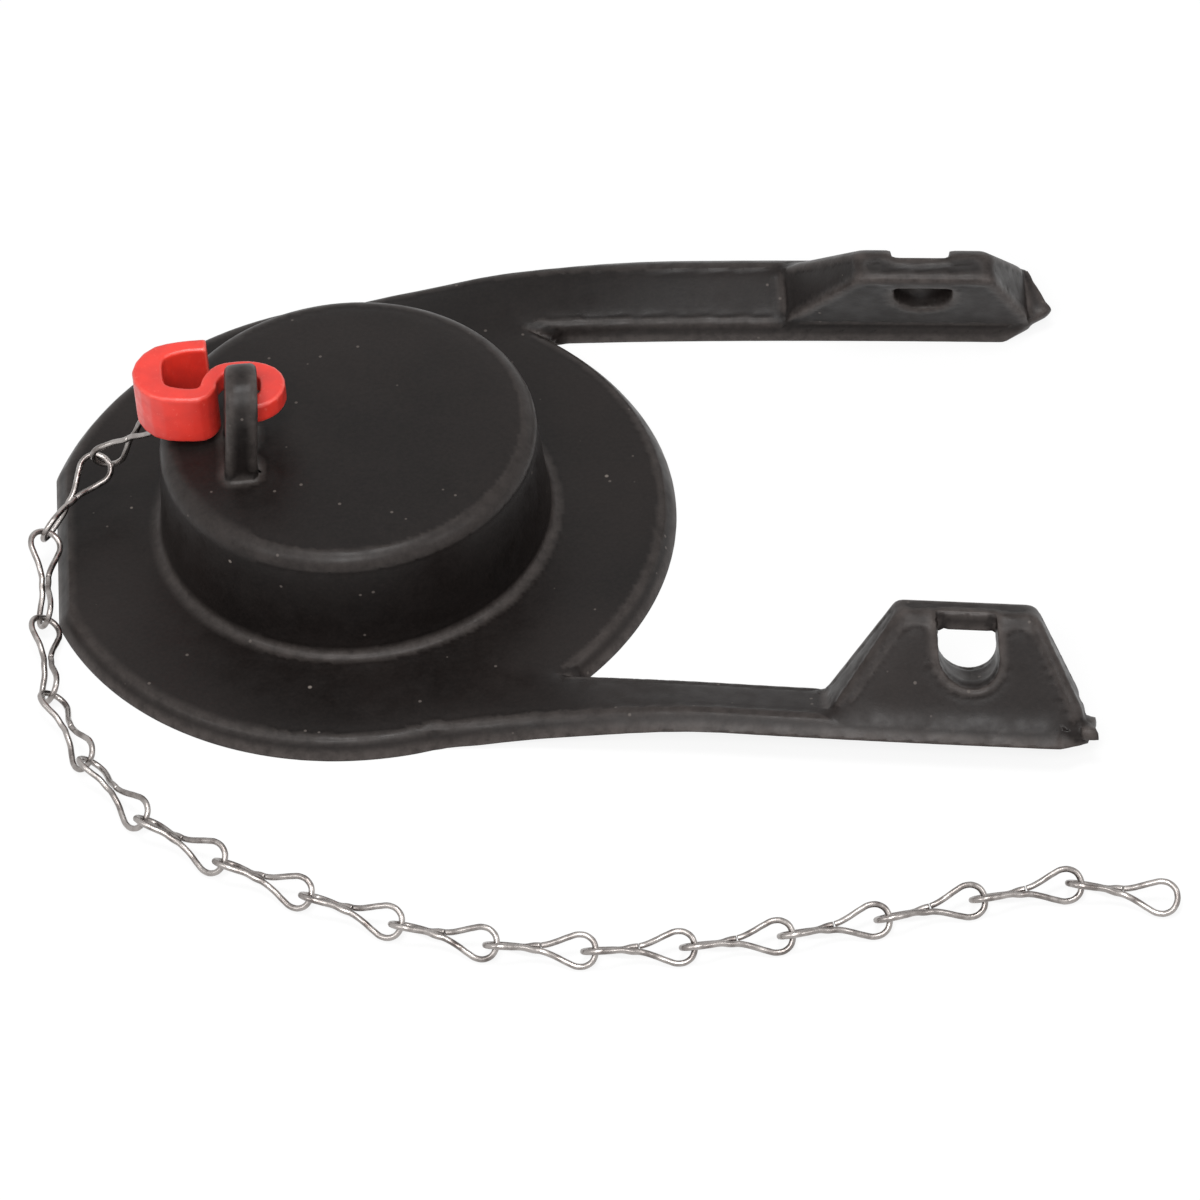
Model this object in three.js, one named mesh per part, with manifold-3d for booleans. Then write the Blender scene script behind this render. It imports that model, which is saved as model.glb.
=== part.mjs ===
// Toilet flapper: moulded rubber disc and arms, plastic clip, wire chain.
// Millimetres, +Z up. The disc lies flat on z = 0 and the arms run towards +X.
import * as THREE from "three";
import * as BufferGeometryUtils from "three/addons/utils/BufferGeometryUtils.js";
import Module from "manifold-3d";

// Disc
const DISC_R = 41;
const SLAB_T = 2.7;
const EDGE_BEVEL = 1.8;
const EDGE_FLAT_DEPTH = 2.2;
const DISC_SEGMENTS = 64;

// Hollow dome on the disc
const DOME_FOOT_R = 24.9;
const DOME_TOP_R = 24.0;
const DOME_HEIGHT = 16.0;
const DOME_CROWN = 0.6;
const DOME_EDGE_ROUND = 2.5;
const DOME_FOOT_ROUND = 1.2;
const DOME_WALL = 2.2;

// Arms: a flat strip whose outer edge is rolled upwards
const ARM_TOP_W = 8.4;
const ARM_END_X = 88.8;
const ARM_START_X = -9;
const ARM_STATIONS = 26;
const ARM_END_CUT_X = 3.4;
const ARM_END_CUT_U = 2.2;
const ARM_GAP_ROOT = 28.0;
const ARM_SPREAD = 5.74;
const ARM_SPREAD_REACH = 40;
const ARM_ROOT_INSET = 0.02;
const ARM_ROOT_INSET_X = 6;
const ARM_ROLL = THREE.MathUtils.degToRad(22);
const ARM_ROLL_START_X = 4;
const ARM_ROLL_LENGTH = 40;
const ARM_LEAN_START_X = 18;
const ARM_LEAN_SLOPE = 0.1525;
const ARM_LEAN_EASE = 3;
const ARM_LEAN_OFFSET = -1;

// Ears standing on the arms
const EAR_FOOT_X = 56.5;
const EAR_FOOT_END_X = 88.6;
const EAR_TOP_X = 66.6;
const EAR_TOP_END_X = 83.2;
const EAR_HEIGHT = 12.8;
const EAR_TOP_W = 4.7;
const EAR_CORNER = 0.9;
const EAR_CHAMFER = 1.3;
const EAR_CHAMFER_DEPTH = 0.8;
const EAR_HOLE_X = 74.8;
const EAR_HOLE_W = 7.3;
const EAR_HOLE_H = 6.2;
const EAR_BRIDGE = 2.75;
const EAR_RECESS = 1.15;

// Torn stubs left at the ends of the arms
const STUB_T = 1.7;
const NEAR_STUB_U = 6.4;
const NEAR_STUB_W = 4.4;
const NEAR_STUB_TEETH = [[0, 1.3], [0.3, 0.9], [0.5, 0.5], [0.72, 0.8], [1, 1.25]];
const FAR_STUB_U = 2.4;
const FAR_STUB_W = 7.2;
const FAR_STUB_TEETH = [[0, 0.4], [0.12, 2.0], [0.26, 3.0], [0.38, 2.2], [0.6, 1.6], [0.78, 0.9], [1, 0.4]];

// Eye on the dome
const EYE_X = -13.6;
const EYE_Y = -3.9;
const EYE_WIDTH = 4.1;
const EYE_SPAN = 9.4;
const EYE_WALL = 2.3;
const EYE_HEIGHT = 14.2;
const EYE_LEAN = 0.09;

// Clip: one bent strip, tall at the big hook and low at the small one
const CLIP_BOTTOM_GAP = 0.3;
const CLIP_TALL = 7.6;
const CLIP_LOW = 3.0;
const PEG_FROM_EYE_X = -11.6;
const PEG_FROM_EYE_Y = 9.1;
const PEG_R = 0.5;
const PEG_LENGTH = 2.9;
const PEG_HEAD_R = 0.75;
const PEG_HEAD_T = 0.7;
const CLIP_EDGE = 0.25;

// Chain: each link is one wire bent into two loops a quarter turn apart
const LINK_COUNT = 17;
const LINK_PITCH = 12.55;
const LINK_SLACK = 0.65;
const SLACK_FROM_LINK = 5;
const SLACK_FULL_LINK = 12;
const WIRE_R = 0.4;
const LINK_PLAY = 0.45;
const LOOP_HALF_W = 2.0;
const WAIST_HALF = 0.46;
const WIRE_SIDES = 6;
const WIRE_STEPS = 32;
const CHAIN_LIFT = 0.27;
const CHAIN_HANG = 1.0;
const PEG_CLEARANCE = 0.6;
const START_ROLL = Math.PI / 6;
const ROLL_LINKS = 5;

const discTop = SLAB_T;
const domeTop = discTop + DOME_HEIGHT;
const armBottomW = ARM_TOP_W + 2 * EDGE_BEVEL;
const pegX = EYE_X + PEG_FROM_EYE_X;
const pegY = EYE_Y + PEG_FROM_EYE_Y;
const clipBottom = domeTop + DOME_CROWN + CLIP_BOTTOM_GAP;
const pegHeadTop = clipBottom - PEG_LENGTH + PEG_HEAD_T;
const chainRestZ = LOOP_HALF_W * Math.SQRT1_2 + WIRE_R + CHAIN_LIFT;

const wasm = await Module();
wasm.setup();

function toSolid(geometry) {
  const plain = geometry.clone();
  plain.deleteAttribute("normal");
  plain.deleteAttribute("uv");
  const merged = BufferGeometryUtils.mergeVertices(plain, 1e-4);
  const mesh = new wasm.Mesh({
    numProp: 3,
    vertProperties: new Float32Array(merged.attributes.position.array),
    triVerts: new Uint32Array(merged.index.array),
  });
  mesh.merge();
  return new wasm.Manifold(mesh);
}

function toGeometry(solid) {
  const mesh = solid.getMesh();
  const geometry = new THREE.BufferGeometry();
  geometry.setAttribute("position", new THREE.BufferAttribute(mesh.vertProperties, 3));
  geometry.setIndex(new THREE.BufferAttribute(mesh.triVerts, 1));
  geometry.computeVertexNormals();
  return geometry;
}

function roundCorner(cx, cy, radius, fromDeg, toDeg, steps) {
  const points = [];
  for (let i = 0; i <= steps; i += 1) {
    const a = THREE.MathUtils.degToRad(fromDeg + ((toDeg - fromDeg) * i) / steps);
    points.push(new THREE.Vector2(cx + radius * Math.cos(a), cy + radius * Math.sin(a)));
  }
  return points;
}

// Disc and dome in one turned profile, open underneath.
function discAndDome() {
  const inner = DOME_FOOT_R - DOME_WALL;
  const innerTop = DOME_TOP_R - DOME_WALL;
  const ceiling = domeTop - DOME_WALL;
  const edge = DOME_EDGE_ROUND;
  const foot = DOME_FOOT_ROUND;
  const profile = [
    new THREE.Vector2(0, ceiling),
    ...roundCorner(innerTop - edge * 0.6, ceiling - edge * 0.6, edge * 0.6, 90, 0, 3),
    new THREE.Vector2(inner, 0),
    new THREE.Vector2(DISC_R, 0),
    new THREE.Vector2(DISC_R - EDGE_BEVEL * 0.9, discTop - 0.25),
    new THREE.Vector2(DISC_R - EDGE_BEVEL * 1.25, discTop),
    ...roundCorner(DOME_FOOT_R + foot, discTop + foot, foot, 270, 180, 4),
    ...roundCorner(DOME_TOP_R - edge, domeTop - edge, edge, 0, 90, 6),
    new THREE.Vector2(DOME_TOP_R * 0.5, domeTop + DOME_CROWN * 0.7),
    new THREE.Vector2(0, domeTop + DOME_CROWN),
  ];
  const geometry = new THREE.LatheGeometry(profile, DISC_SEGMENTS);
  geometry.rotateX(Math.PI / 2);
  return toSolid(geometry).subtract(edgeFlat());
}

// The edge away from the arms is cut straight, at the slope of its bevel.
function edgeFlat() {
  const cutter = new THREE.BoxGeometry(DISC_R / 2, DISC_R * 2, DISC_R / 2);
  cutter.translate(-DISC_R / 4, 0, 0);
  cutter.rotateY(Math.atan2(EDGE_BEVEL, SLAB_T));
  cutter.translate(EDGE_FLAT_DEPTH - DISC_R, 0, 0);
  return toSolid(cutter);
}

// Where a point of the flat arm ends up: x along the arm, u outwards, v upwards.
function bend(x, u, v, side) {
  const t = THREE.MathUtils.smoothstep(x, ARM_ROLL_START_X, ARM_ROLL_START_X + ARM_ROLL_LENGTH);
  const roll = ARM_ROLL * t;
  const spread = ARM_SPREAD * (1 - Math.exp(-Math.max(x, 0) / ARM_SPREAD_REACH));
  const short = Math.max(0, ARM_ROOT_INSET_X - x);
  const gap = ARM_GAP_ROOT + spread - ARM_ROOT_INSET * short * short;
  const run = Math.max(0, x - ARM_LEAN_START_X);
  const lean = ARM_LEAN_OFFSET + (ARM_LEAN_SLOPE * run * run) / (run + ARM_LEAN_EASE);
  const across = gap + u * Math.cos(roll) - v * Math.sin(roll);
  return [x, side * across - lean, u * Math.sin(roll) + v * Math.cos(roll)];
}

function bendGeometry(geometry, side) {
  const position = geometry.attributes.position;
  for (let i = 0; i < position.count; i += 1) {
    const p = bend(position.getX(i), position.getY(i), position.getZ(i), side);
    position.setXYZ(i, p[0], p[1], p[2]);
  }
  if (side < 0) {
    const index = geometry.index.array;
    for (let i = 0; i < index.length; i += 3) {
      const first = index[i];
      index[i] = index[i + 1];
      index[i + 1] = first;
    }
  }
  return geometry;
}

// Closed skin through a row of equal-length sections, capped at both ends.
function loft(sections) {
  const count = sections[0].length;
  const vertices = sections.flat(2);
  const triangles = [];
  for (let s = 0; s < sections.length - 1; s += 1) {
    for (let i = 0; i < count; i += 1) {
      const a = s * count + i;
      const b = s * count + ((i + 1) % count);
      triangles.push(a, b, a + count, b, b + count, a + count);
    }
  }
  const last = (sections.length - 1) * count;
  for (let i = 1; i < count - 1; i += 1) {
    triangles.push(0, i + 1, i);
    triangles.push(last, last + i, last + i + 1);
  }
  const geometry = new THREE.BufferGeometry();
  geometry.setAttribute("position", new THREE.Float32BufferAttribute(vertices, 3));
  geometry.setIndex(triangles);
  return geometry;
}

// Flat arm strip, sections across u and v at stations along x.
function armStrip() {
  const sections = [];
  for (let i = 0; i <= ARM_STATIONS; i += 1) {
    const x = ARM_START_X + ((ARM_END_X - ARM_START_X) * i) / ARM_STATIONS;
    const cut = Math.max(0, (x - (ARM_END_X - ARM_END_CUT_X)) / ARM_END_CUT_X);
    const inset = ARM_END_CUT_U * cut;
    const soft = 0.35;
    sections.push([
      [x, inset, 0],
      [x, armBottomW - inset, 0],
      [x, armBottomW - EDGE_BEVEL + soft - inset * 0.3, SLAB_T - soft],
      [x, armBottomW - EDGE_BEVEL - soft - inset * 0.3, SLAB_T],
      [x, EDGE_BEVEL + soft + inset * 0.3, SLAB_T],
      [x, EDGE_BEVEL - soft + inset * 0.3, SLAB_T - soft],
    ]);
  }
  return loft(sections);
}

function extrudeAlongU(shape, fromU, toU, chamfer = 0, chamferDepth = 0) {
  const geometry = new THREE.ExtrudeGeometry(shape, {
    depth: toU - fromU - 2 * chamferDepth,
    bevelEnabled: chamfer > 0,
    bevelSize: chamfer,
    bevelOffset: -chamfer,
    bevelThickness: chamferDepth,
    bevelSegments: 1,
    curveSegments: 12,
  });
  geometry.translate(0, 0, chamferDepth);
  geometry.rotateX(Math.PI / 2);
  geometry.translate(0, toU, 0);
  return geometry;
}

// Flat ear: the side outline, chamfered round its outer face, leans in to a narrow top.
function ear() {
  const base = SLAB_T - 0.6;
  const top = SLAB_T + EAR_HEIGHT;
  const root = base - EAR_CHAMFER;
  const outline = new THREE.Shape();
  const corner = EAR_CORNER;
  outline.moveTo(EAR_FOOT_X, root);
  outline.lineTo(EAR_FOOT_END_X, root);
  outline.lineTo(EAR_FOOT_END_X - 0.4, SLAB_T + 1.6);
  outline.lineTo(EAR_TOP_END_X + corner, top - corner * 1.3);
  outline.quadraticCurveTo(EAR_TOP_END_X + corner * 0.4, top, EAR_TOP_END_X - corner, top);
  outline.lineTo(EAR_TOP_X + corner, top);
  outline.quadraticCurveTo(EAR_TOP_X, top, EAR_TOP_X - corner * 0.7, top - corner);
  outline.lineTo(EAR_FOOT_X + 0.6, SLAB_T);
  outline.closePath();
  const inner = EDGE_BEVEL;
  const outer = armBottomW - EDGE_BEVEL;
  const plate = extrudeAlongU(outline, -armBottomW, outer, EAR_CHAMFER, EAR_CHAMFER_DEPTH);
  const leanIn = (outer - inner - EAR_TOP_W) / (top - SLAB_T);
  const position = plate.attributes.position;
  for (let i = 0; i < position.count; i += 1) {
    position.setY(i, position.getY(i) - leanIn * (position.getZ(i) - SLAB_T));
  }
  const sideways = toSolid(plate);

  const edge = 0.4;
  const section = new THREE.Shape();
  section.moveTo(inner, root);
  section.lineTo(armBottomW, root);
  section.lineTo(armBottomW, top);
  section.lineTo(inner + edge, top);
  section.lineTo(inner, top - edge);
  section.closePath();
  const lengthwise = new THREE.ExtrudeGeometry(section, {
    depth: EAR_FOOT_END_X - EAR_FOOT_X + 10,
    bevelEnabled: false,
  });
  lengthwise.rotateX(Math.PI / 2);
  lengthwise.rotateZ(Math.PI / 2);
  lengthwise.translate(EAR_FOOT_X - 5, 0, 0);
  let solid = sideways.intersect(toSolid(lengthwise));

  const half = EAR_HOLE_W / 2;
  const holeTop = top - EAR_BRIDGE;
  const holeMid = holeTop - EAR_HOLE_H + half;
  const hole = new THREE.Shape();
  hole.moveTo(EAR_HOLE_X - half, holeTop);
  hole.lineTo(EAR_HOLE_X - half, holeMid);
  hole.absarc(EAR_HOLE_X, holeMid, half, Math.PI, Math.PI * 2, false);
  hole.lineTo(EAR_HOLE_X + half, holeTop);
  hole.closePath();
  solid = solid.subtract(toSolid(extrudeAlongU(hole, -5, armBottomW + 5)));

  const recess = new THREE.BoxGeometry(EAR_HOLE_W, 10, EAR_BRIDGE + 4);
  const recessFrom = inner + EAR_TOP_W - EAR_RECESS;
  recess.translate(EAR_HOLE_X, recessFrom + 5, holeTop - 0.01 + (EAR_BRIDGE + 4) / 2);
  return solid.subtract(toSolid(recess));
}

// Ragged stub where a strap has been torn away; each tooth is [share of the width, reach].
function stub(fromU, width, teeth) {
  const shape = new THREE.Shape();
  shape.moveTo(ARM_END_X - 1, fromU);
  for (const [share, reach] of teeth) {
    shape.lineTo(ARM_END_X + reach, fromU + width * share);
  }
  shape.lineTo(ARM_END_X - 1, fromU + width);
  shape.closePath();
  const geometry = new THREE.ExtrudeGeometry(shape, { depth: STUB_T, bevelEnabled: false });
  geometry.translate(0, 0, SLAB_T - STUB_T - 0.1);
  return toSolid(geometry);
}

function arm(side, tornStub) {
  const strip = toSolid(bendGeometry(armStrip(), side));
  const upper = toGeometry(ear().add(tornStub));
  return strip.add(toSolid(bendGeometry(upper, side)));
}

// Standing eye: two legs joined by a half-round crown, leaning a little to +X.
function eye() {
  const half = EYE_SPAN / 2;
  const legTop = domeTop + EYE_HEIGHT - half;
  const foot = domeTop - 1;
  const outline = new THREE.Shape();
  outline.moveTo(-half - 0.5, foot);
  outline.lineTo(half + 0.5, foot);
  outline.lineTo(half, foot + 2.6);
  outline.lineTo(half, legTop);
  outline.absarc(0, legTop, half, 0, Math.PI, false);
  outline.lineTo(-half, foot + 2.6);
  outline.closePath();
  const hole = new THREE.Path();
  const inside = half - EYE_WALL;
  hole.moveTo(-inside, domeTop + DOME_CROWN + 0.4);
  hole.lineTo(inside, domeTop + DOME_CROWN + 0.4);
  hole.lineTo(inside, legTop);
  hole.absarc(0, legTop, inside, 0, Math.PI, false);
  hole.closePath();
  outline.holes.push(hole);
  const bevel = 0.45;
  const geometry = new THREE.ExtrudeGeometry(outline, {
    depth: EYE_WIDTH - 2 * bevel,
    bevelEnabled: true,
    bevelThickness: bevel,
    bevelSize: bevel,
    bevelOffset: -bevel,
    bevelSegments: 1,
    curveSegments: 9,
  });
  geometry.rotateX(Math.PI / 2);
  geometry.rotateZ(Math.PI / 2);
  geometry.translate(EYE_X - EYE_WIDTH / 2 + bevel, EYE_Y, 0);
  const position = geometry.attributes.position;
  for (let i = 0; i < position.count; i += 1) {
    position.setX(i, position.getX(i) + EYE_LEAN * (position.getZ(i) - domeTop));
  }
  return toSolid(geometry);
}

// Outline of a strip of changing width along a centre line of [x, y, width].
function stripShape(stops, steps) {
  const line = new THREE.CatmullRomCurve3(
    stops.map((s) => new THREE.Vector3(s[0], s[1], s[2])), false, "centripetal");
  const left = [];
  const right = [];
  for (let i = 0; i <= steps; i += 1) {
    const p = line.getPoint(i / steps);
    const t = line.getTangent(i / steps);
    const n = new THREE.Vector2(-t.y, t.x).normalize().multiplyScalar(p.z / 2);
    left.push(new THREE.Vector2(p.x + n.x, p.y + n.y));
    right.push(new THREE.Vector2(p.x - n.x, p.y - n.y));
  }
  return new THREE.Shape([...left, ...right.reverse()]);
}

// The clip's two hooks, placed from the eye that it hangs in.
function clip() {
  const tallStops = [
    [-3.3, 11.95, 2.1],
    [-6.4, 11.95, 2.1],
    [-9.7, 10.9, 2.8],
    [-10.9, 7.7, 3.9],
    [-9.6, 4.4, 2.9],
    [-6.4, 3.25, 2.3],
    [-4.3, 3.2, 2.3],
    [-3.4, 4.1, 2.1],
    [-3.1, 5.0, 2.1],
  ];
  const lowStops = [
    [-3.4, 4.1, 2.0],
    [-2.9, 5.8, 2.0],
    [-1.7, 7.2, 2.0],
    [0.3, 7.5, 2.0],
    [2.4, 7.2, 2.2],
    [4.4, 5.8, 2.8],
    [4.9, 3.9, 3.2],
    [4.2, 1.9, 2.7],
    [2.4, 0.8, 2.1],
    [-0.1, 0.7, 1.9],
  ];
  const top = clipBottom + CLIP_TALL;
  const solids = [[tallStops, CLIP_TALL], [lowStops, CLIP_LOW]].map(([stops, height]) => {
    const geometry = new THREE.ExtrudeGeometry(stripShape(stops, 22), {
      depth: height - 2 * CLIP_EDGE,
      bevelEnabled: true,
      bevelThickness: CLIP_EDGE,
      bevelSize: CLIP_EDGE,
      bevelOffset: -CLIP_EDGE,
      bevelSegments: 1,
    });
    geometry.translate(EYE_X, EYE_Y, top - height + CLIP_EDGE);
    return toSolid(geometry);
  });
  const peg = new THREE.CylinderGeometry(PEG_R, PEG_R, PEG_LENGTH + 0.5, 12);
  peg.rotateX(Math.PI / 2);
  peg.translate(pegX, pegY, clipBottom + 0.25 - PEG_LENGTH / 2);
  const head = new THREE.CylinderGeometry(PEG_HEAD_R, PEG_HEAD_R, PEG_HEAD_T, 12);
  head.rotateX(Math.PI / 2);
  head.translate(pegX, pegY, pegHeadTop - PEG_HEAD_T / 2);
  return toGeometry(solids[0].add(solids[1]).add(toSolid(peg)).add(toSolid(head)));
}

// Centre line of one link's wire, its length along x, split at the waist.
function linkWire() {
  const end = (LINK_PITCH + LINK_PLAY) / 2 + WIRE_R;
  const quarter = [
    [0.03, WAIST_HALF],
    [0.22, WAIST_HALF * 1.35],
    [0.46, LOOP_HALF_W * 0.72],
    [0.7, LOOP_HALF_W],
    [0.88, LOOP_HALF_W * 0.82],
    [0.98, LOOP_HALF_W * 0.37],
  ];
  const half = [
    ...quarter.map(([k, w]) => [k * end, w]),
    ...quarter.map(([k, w]) => [k * end, -w]).reverse(),
  ];
  const loop = [...half, ...half.map(([x, w]) => [-x, -w])];
  const points = loop.map(([x, w]) => {
    const turn = (Math.PI / 4) * THREE.MathUtils.clamp(x / (end * 0.3), -1, 1);
    return new THREE.Vector3(x, w * Math.cos(turn), w * Math.sin(turn));
  });
  return new THREE.CatmullRomCurve3(points, false, "centripetal");
}

function linkGeometry() {
  const wire = new THREE.Shape();
  for (let i = 0; i < WIRE_SIDES; i += 1) {
    const a = (Math.PI * 2 * i) / WIRE_SIDES;
    if (i === 0) wire.moveTo(WIRE_R, 0);
    else wire.lineTo(WIRE_R * Math.cos(a), WIRE_R * Math.sin(a));
  }
  wire.closePath();
  return new THREE.ExtrudeGeometry(wire, {
    steps: WIRE_STEPS,
    bevelEnabled: false,
    extrudePath: linkWire(),
  });
}

// The chain comes down from the peg, passes the disc's edge and lies on the floor.
// Each stop is [angle round the disc, distance outside its edge, height].
function chainPath() {
  const stops = [
    [167.0, -8.7, chainRestZ + 7.3],
    [180.8, -2.05, chainRestZ + 4.45],
    [198.3, 1.2, chainRestZ + 0.85],
    [214.4, 7.1, chainRestZ],
    [227.8, 11.5, chainRestZ],
    [241.0, 16.5, chainRestZ],
    [262.5, 24.2, chainRestZ],
    [280.9, 35.8, chainRestZ],
    [296.0, 45.8, chainRestZ],
    [309.2, 57.0, chainRestZ],
    [319.4, 71.0, chainRestZ],
    [321.5, 82.3, chainRestZ],
    [324.1, 97.2, chainRestZ],
  ];
  const points = stops.map(([degrees, outside, height]) => {
    const angle = THREE.MathUtils.degToRad(degrees);
    const radius = DISC_R + outside;
    return new THREE.Vector3(radius * Math.cos(angle), radius * Math.sin(angle), height);
  });
  const startX = pegX + PEG_R + WIRE_R + PEG_CLEARANCE;
  points.unshift(new THREE.Vector3(startX, pegY, pegHeadTop + CHAIN_HANG));
  return new THREE.CatmullRomCurve3(points, false, "centripetal");
}

// Junctions of the links: pulled out at first, with more slack along the floor.
function chainNodes() {
  const fine = chainPath().getPoints(4000);
  const nodes = [fine[0]];
  for (const p of fine) {
    const previous = nodes[nodes.length - 1];
    const slack = THREE.MathUtils.smoothstep(nodes.length - 1, SLACK_FROM_LINK, SLACK_FULL_LINK);
    if (p.distanceTo(previous) >= LINK_PITCH - LINK_SLACK * slack) nodes.push(p);
    if (nodes.length > LINK_COUNT) break;
  }
  return nodes;
}

const rubber = new THREE.MeshStandardMaterial({ color: 0x2a2928, roughness: 0.6 });
const red = new THREE.MeshStandardMaterial({ color: 0xd6281f, roughness: 0.35 });
const steel = new THREE.MeshStandardMaterial({ color: 0xa9a6a0, roughness: 0.3, metalness: 1 });
rubber.name = "rubber";
red.name = "clip_plastic";
steel.name = "chain_wire";

const group = new THREE.Group();
group.name = "toilet_flapper";

function addPiece(name, geometry, material) {
  const mesh = new THREE.Mesh(geometry, material);
  mesh.name = name;
  group.add(mesh);
  return mesh;
}

const nearArm = arm(-1, stub(NEAR_STUB_U, NEAR_STUB_W, NEAR_STUB_TEETH));
const farArm = arm(1, stub(FAR_STUB_U, FAR_STUB_W, FAR_STUB_TEETH));
const body = discAndDome().add(nearArm).add(farArm).add(eye());
addPiece("flapper_body", toGeometry(body), rubber);
addPiece("chain_clip", clip(), red);

const nodes = chainNodes();
for (let i = 0; i < LINK_COUNT; i += 1) {
  const along = new THREE.Vector3().subVectors(nodes[i + 1], nodes[i]).normalize();
  const side = new THREE.Vector3(0, 0, 1).cross(along).normalize();
  const up = new THREE.Vector3().crossVectors(along, side);
  const roll = START_ROLL * Math.max(0, 1 - i / ROLL_LINKS);
  const place = new THREE.Matrix4().makeBasis(along, side, up);
  place.setPosition(new THREE.Vector3().addVectors(nodes[i], nodes[i + 1]).multiplyScalar(0.5));
  const geometry = linkGeometry();
  geometry.rotateX(roll);
  geometry.applyMatrix4(place);
  addPiece(`chain_link_${String(i + 1).padStart(2, "0")}`, geometry, steel);
}

// Stand the whole part on the origin: middle of its footprint, bottom at z = 0.
const box = new THREE.Box3().setFromObject(group);
const middle = box.getCenter(new THREE.Vector3());
for (const mesh of group.children) {
  mesh.geometry.translate(-middle.x, -middle.y, -box.min.z);
}

export default group;
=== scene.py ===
"""Toilet flapper: a moulded rubber body, a red hook clip and a chain of twisted wire links."""

import logging
import math
from dataclasses import dataclass, field
from enum import Enum

import bmesh
import bpy
import numpy as np
from mathutils import Matrix, Vector
from mathutils.geometry import interpolate_bezier
from mathutils.kdtree import KDTree

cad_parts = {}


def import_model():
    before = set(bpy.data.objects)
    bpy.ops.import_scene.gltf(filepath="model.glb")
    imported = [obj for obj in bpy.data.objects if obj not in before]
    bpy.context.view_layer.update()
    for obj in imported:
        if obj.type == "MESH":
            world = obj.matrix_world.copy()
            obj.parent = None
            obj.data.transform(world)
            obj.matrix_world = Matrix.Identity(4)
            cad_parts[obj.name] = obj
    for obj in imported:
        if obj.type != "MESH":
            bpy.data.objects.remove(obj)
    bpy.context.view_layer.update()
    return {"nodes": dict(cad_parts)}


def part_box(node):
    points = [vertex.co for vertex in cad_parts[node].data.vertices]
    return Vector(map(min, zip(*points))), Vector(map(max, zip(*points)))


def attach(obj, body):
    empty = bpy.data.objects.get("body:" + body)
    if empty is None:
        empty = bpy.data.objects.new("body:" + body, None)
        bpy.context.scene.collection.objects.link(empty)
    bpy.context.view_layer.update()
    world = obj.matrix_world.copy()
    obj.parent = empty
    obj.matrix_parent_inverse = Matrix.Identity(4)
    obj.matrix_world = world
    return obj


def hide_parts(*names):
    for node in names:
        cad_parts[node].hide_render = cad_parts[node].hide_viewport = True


Colour = tuple[float, float, float]
Socket = bpy.types.NodeSocket
Value = Socket | Colour | float
Form = bmesh.types.BMesh

MM = 0.001
BODY = "root"
# Stored edge sharpness that places the painted highlight on edges and fillets.
PAINTED_HIGHLIGHT = "painted_edge_highlight"
WELD = 0.002 * MM
UP = Vector((0.0, 0.0, 1.0))
WHITE = (1.0, 1.0, 1.0)
MIDDLE = ((0.5, 0.5),)
QUARTERS = ((0.25, 0.25), (0.75, 0.25), (0.75, 0.75), (0.25, 0.75))
log = logging.getLogger("flapper")


class Slot(Enum):
    """Names of material slots; no piece is given them."""

    RUBBER = "rubber"
    CLIP = "clip_plastic"
    WIRE = "chain_wire"


@dataclass(frozen=True)
class Pattern:
    """A noise: cells per metre, octaves, the finer octaves' weight, and the band that counts."""

    scale: float
    detail: float = 3.0
    weight: float = 0.5
    low: float = 0.3
    high: float = 0.7


@dataclass(frozen=True)
class Relief:
    """A bump: the share of its effect, and its height in metres."""

    strength: float
    height: float


@dataclass(frozen=True)
class Speck:
    """Dust specks of one kind: cells per metre, radius and share in cells, soft rim and colour."""

    cells: float
    radius: float
    share: float
    colour: Colour
    rim: float = 0.6


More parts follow.
